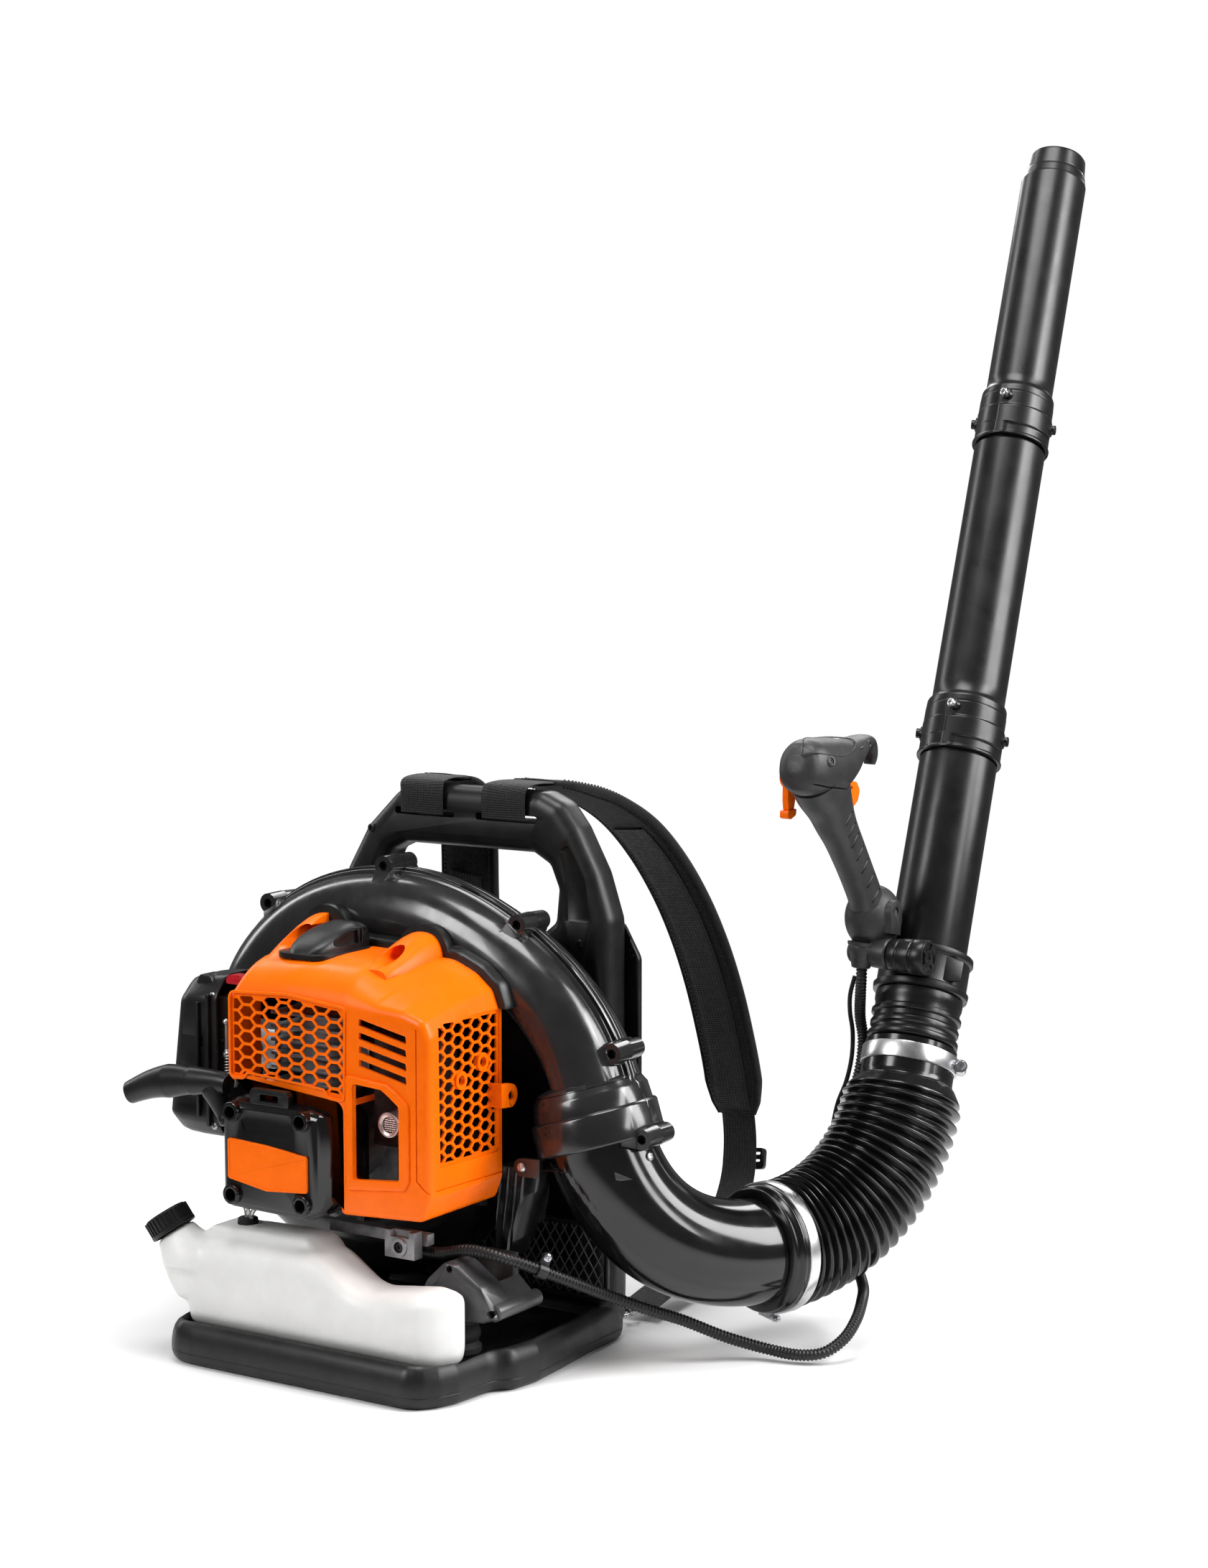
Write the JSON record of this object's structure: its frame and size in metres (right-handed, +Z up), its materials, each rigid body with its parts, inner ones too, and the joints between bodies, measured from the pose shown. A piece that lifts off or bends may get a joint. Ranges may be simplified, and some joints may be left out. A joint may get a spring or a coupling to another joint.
{
  "type": "backpack leaf blower",
  "caption": "Petrol backpack blower: engine and centrifugal fan on a moulded harness frame, elbow, pleated hose and long blowing tube with a pistol-grip throttle.",
  "frame": {"origin": "on the flat sole of the backpack frame, below the fan and engine", "axes": "+Z up as it stands; +Y towards the operator's back and the way the air is thrown; -Y is the engine side; +X the operator's right, the air outlet side"},
  "size_m": [0.6386, 0.9705, 1.1341],
  "materials": {
    "frame_black": "blow-moulded polyethylene, fine leather-like texture, satin",
    "pad_mesh": "padded spacer mesh with bound edges",
    "webbing": "woven polypropylene webbing",
    "hardware_black": "glossy moulded nylon",
    "steel_bright": "bright stainless",
    "housing_smoke": "smoky grey-black glossy moulding",
    "alloy": "die-cast and machined",
    "rubber": "matt rubber",
    "hose_black": "glossy flexible moulding with pleats",
    "cast_alloy": "rough casting",
    "dark_steel": "dark oxidised steel",
    "orange": "satin-gloss orange moulding",
    "clear_plastic": "clear flexible plastic",
    "choke_red": "red moulding",
    "filter_foam": "open-cell foam",
    "tank_white": "milky translucent polyethylene",
    "tube_black": "satin extruded tube with long highlights",
    "handle_grey": "textured grip moulding"
  },
  "bodies": {
    "chassis": {"backpack_frame": "frame_black", "harness_plate": "frame_black", "back_pad": "pad_mesh", "intake_net": "frame_black", "right_shoulder_strap": "pad_mesh", "right_lower_webbing": "webbing", "right_ladder_buckle": "hardware_black", "left_shoulder_strap": "pad_mesh", "left_lower_webbing": "webbing", "left_ladder_buckle": "hardware_black", "fan_housing_front": "housing_smoke", "fan_housing_rear": "housing_smoke", "support_foot": "housing_smoke", "rubber_mount_right": "rubber", "rubber_mount_left": "rubber", "crankcase": "cast_alloy", "cylinder": "cast_alloy", "starter_cover": "hardware_black", "name_plate": "orange", "spark_plug": "steel_bright", "muffler": "dark_steel", "exhaust_outlet": "steel_bright", "carburettor": "alloy", "air_filter_element": "filter_foam", "air_filter_cover": "hardware_black", "crankcase_bracket": "alloy", "engine_cover": "orange", "spark_plug_cover": "hardware_black", "fuel_tank": "tank_white", "fuel_grommet": "rubber", "fuel_line": "clear_plastic", "outlet_elbow": "hardware_black", "flexible_hose": "hose_black", "lower_hose_clamp": "steel_bright", "throttle_conduit_lower": "hose_black", "conduit_clip": "alloy"},
    "crank": {"crankshaft": "dark_steel", "flywheel": "alloy", "fan_impeller": "alloy"},
    "rod": {"connecting_rod": "dark_steel"},
    "piston": {"piston": "alloy"},
    "reel": {"starter_reel": "hardware_black"},
    "grip": {"starter_grip": "frame_black"},
    "cap": {"fuel_cap": "hardware_black"},
    "choke": {"choke_lever": "choke_red"},
    "primer": {"primer_bulb": "clear_plastic"},
    "throttle_cam": {"throttle_arm": "steel_bright"},
    "hose_end": {"upper_hose_clamp": "steel_bright", "throttle_conduit_upper": "hose_black"},
    "tube": {"swivel_pipe": "tube_black", "lower_tube": "tube_black", "handle_clamp": "frame_black"},
    "middle": {"middle_tube": "tube_black"},
    "nozzle": {"nozzle_tube": "tube_black"},
    "handle": {"control_handle": "handle_grey"},
    "trigger": {"throttle_trigger": "orange"},
    "cruise": {"cruise_lever": "orange"},
    "right_hook": {"right_snap_hook": "steel_bright"},
    "left_hook": {"left_snap_hook": "steel_bright"}
  },
  "joints": [
    {"name": "crank_spin", "type": "hinge", "parent": "chassis", "child": "crank", "pos_m": [-0.044, 0, 0.19], "axis": [0, 1, 0], "continuous": true},
    {"name": "rod_turn", "type": "hinge", "parent": "crank", "child": "rod", "pos_m": [-0.044, -0.02, 0.205], "axis": [0, 1, 0], "continuous": true},
    {"name": "piston_slide", "type": "slide", "parent": "chassis", "child": "piston", "axis": [0, 0, 1], "range_m": [-0.03, 0]},
    {"name": "starter_pull", "type": "slide", "parent": "chassis", "child": "grip", "axis": [-0.46, 0, 0.8879], "range_m": [0, 0.6]},
    {"name": "reel_spin", "type": "hinge", "parent": "chassis", "child": "reel", "pos_m": [-0.044, -0.085, 0.19], "axis": [0, 1, 0], "range_deg": [0, 1160]},
    {"name": "cap_unscrew", "type": "hinge", "parent": "chassis", "child": "cap", "pos_m": [-0.15392, -0.11191, 0.11071], "axis": [-0.553, -0.1206, 0.8244], "continuous": true},
    {"name": "choke_swing", "type": "hinge", "parent": "chassis", "child": "choke", "pos_m": [-0.131, -0.04, 0.3], "axis": [0, 1, 0], "range_deg": [0, 50]},
    {"name": "primer_press", "type": "slide", "parent": "chassis", "child": "primer", "axis": [0, 1, 0], "range_m": [0, 0.003]},
    {"name": "throttle_cam_turn", "type": "hinge", "parent": "chassis", "child": "throttle_cam", "pos_m": [-0.12, 0, 0.27], "axis": [0, 1, 0], "range_deg": [0, 70]},
    {"name": "hose_bend", "type": "hinge", "parent": "chassis", "child": "hose_end", "pos_m": [0.3285, 0.276, 0.142], "axis": [0.9274, -0.3023, 0.2203], "range_deg": [-55, 12], "stiffness_Nm_per_rad": 60, "deforming": ["flexible_hose", "throttle_conduit_lower", "throttle_conduit_upper"]},
    {"name": "tube_swivel", "type": "hinge", "parent": "hose_end", "child": "tube", "pos_m": [0.3404, 0.36798, 0.26164], "axis": [-0.0651, 0.4495, 0.8909], "range_deg": [-25, 25], "deforming": ["throttle_conduit_upper"]},
    {"name": "middle_twist", "type": "hinge", "parent": "tube", "child": "middle", "pos_m": [0.32034, 0.50643, 0.53604], "axis": [-0.0651, 0.4495, 0.8909], "range_deg": [0, 30]},
    {"name": "nozzle_twist", "type": "hinge", "parent": "middle", "child": "nozzle", "pos_m": [0.29841, 0.65791, 0.83627], "axis": [-0.0651, 0.4495, 0.8909], "range_deg": [0, 30]},
    {"name": "handle_tilt", "type": "hinge", "parent": "tube", "child": "handle", "pos_m": [0.336, 0.3441, 0.3419], "axis": [1, 0, 0], "range_deg": [-5, 30], "deforming": ["throttle_conduit_upper"]},
    {"name": "trigger_squeeze", "type": "hinge", "parent": "handle", "child": "trigger", "pos_m": [0.303, 0.3, 0.502], "axis": [1, 0, 0], "range_deg": [-14, 0]},
    {"name": "cruise_set", "type": "hinge", "parent": "handle", "child": "cruise", "pos_m": [0.273, 0.248, 0.514], "axis": [1, 0, 0], "range_deg": [0, 55]},
    {"name": "right_hook_swing", "type": "hinge", "parent": "chassis", "child": "right_hook", "pos_m": [0.15, 0.181, 0.014], "axis": [1, 0, 0], "range_deg": [-20, 20]},
    {"name": "left_hook_swing", "type": "hinge", "parent": "chassis", "child": "left_hook", "pos_m": [-0.131, 0.183, 0.022], "axis": [1, 0, 0], "range_deg": [-20, 20]}
  ],
  "couplings": [
    {"joint": "rod_turn", "follows": "crank_spin", "ratio": -1},
    {"joint": "reel_spin", "follows": "starter_pull", "rad_per_m": 33.333},
    {"joint": "throttle_cam_turn", "follows": "trigger_squeeze", "ratio": -4.5}
  ]
}
